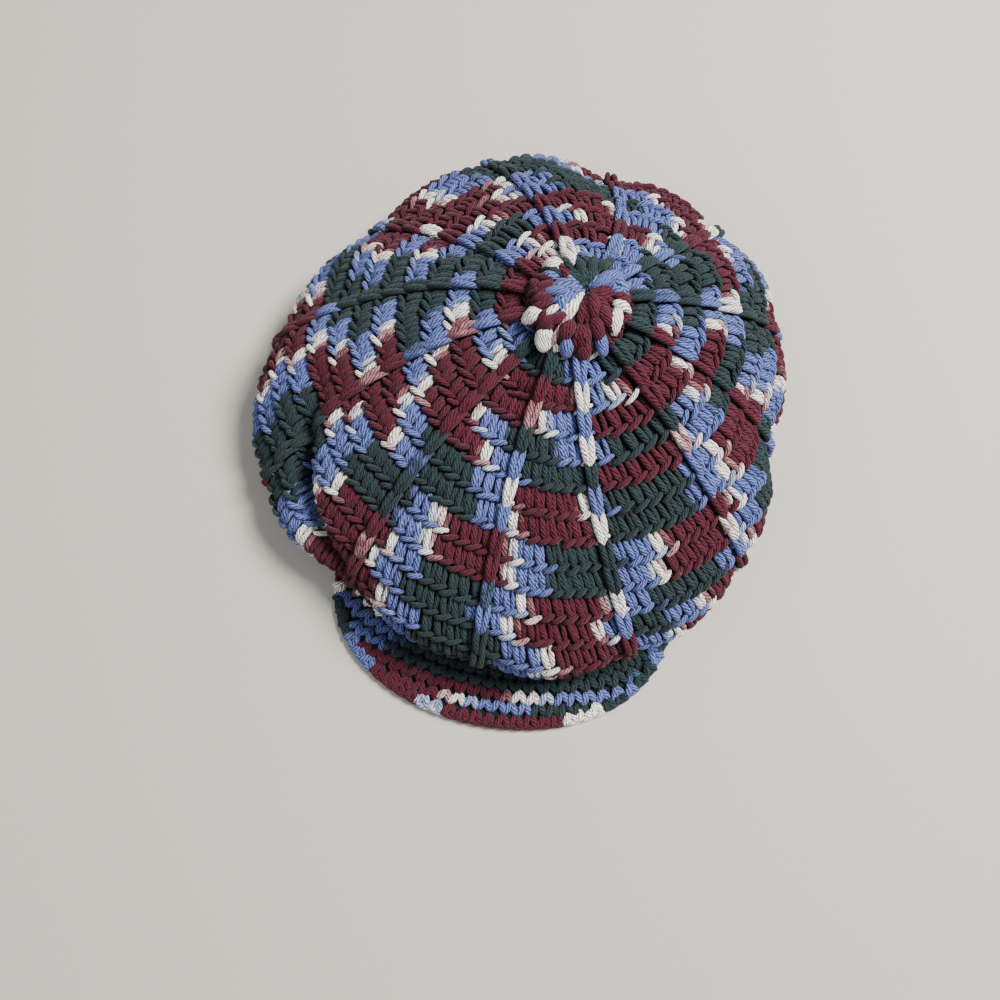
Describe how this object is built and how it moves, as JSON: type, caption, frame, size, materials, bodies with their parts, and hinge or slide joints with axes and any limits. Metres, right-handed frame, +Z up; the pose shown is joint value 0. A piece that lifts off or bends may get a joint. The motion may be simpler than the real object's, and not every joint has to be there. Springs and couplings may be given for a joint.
{
  "type": "crocheted tam with a small peak",
  "caption": "Slouchy crocheted tam with a wide wedged crown gathered to a headband, raised ribs, a round crocheted button on top and a small crescent peak in front.",
  "frame": {"origin": "middle of the hat's bounding box, at the surface that it lies on", "axes": "+Z up through the button, -Y the way the peak points, +X the wearer's left side"},
  "size_m": [0.2778, 0.3116, 0.0957],
  "materials": {
    "crown_yarn": "matte variegated cotton yarn in burgundy, bottle green, periwinkle blue and cream",
    "band_yarn": "matte variegated cotton yarn",
    "peak_yarn": "matte variegated cotton yarn in close rows",
    "button_yarn": "matte variegated cotton yarn, radial stitches"
  },
  "bodies": {
    "root": {"crown": "crown_yarn", "band": "band_yarn", "peak": "peak_yarn", "button": "button_yarn"}
  },
  "joints": []
}
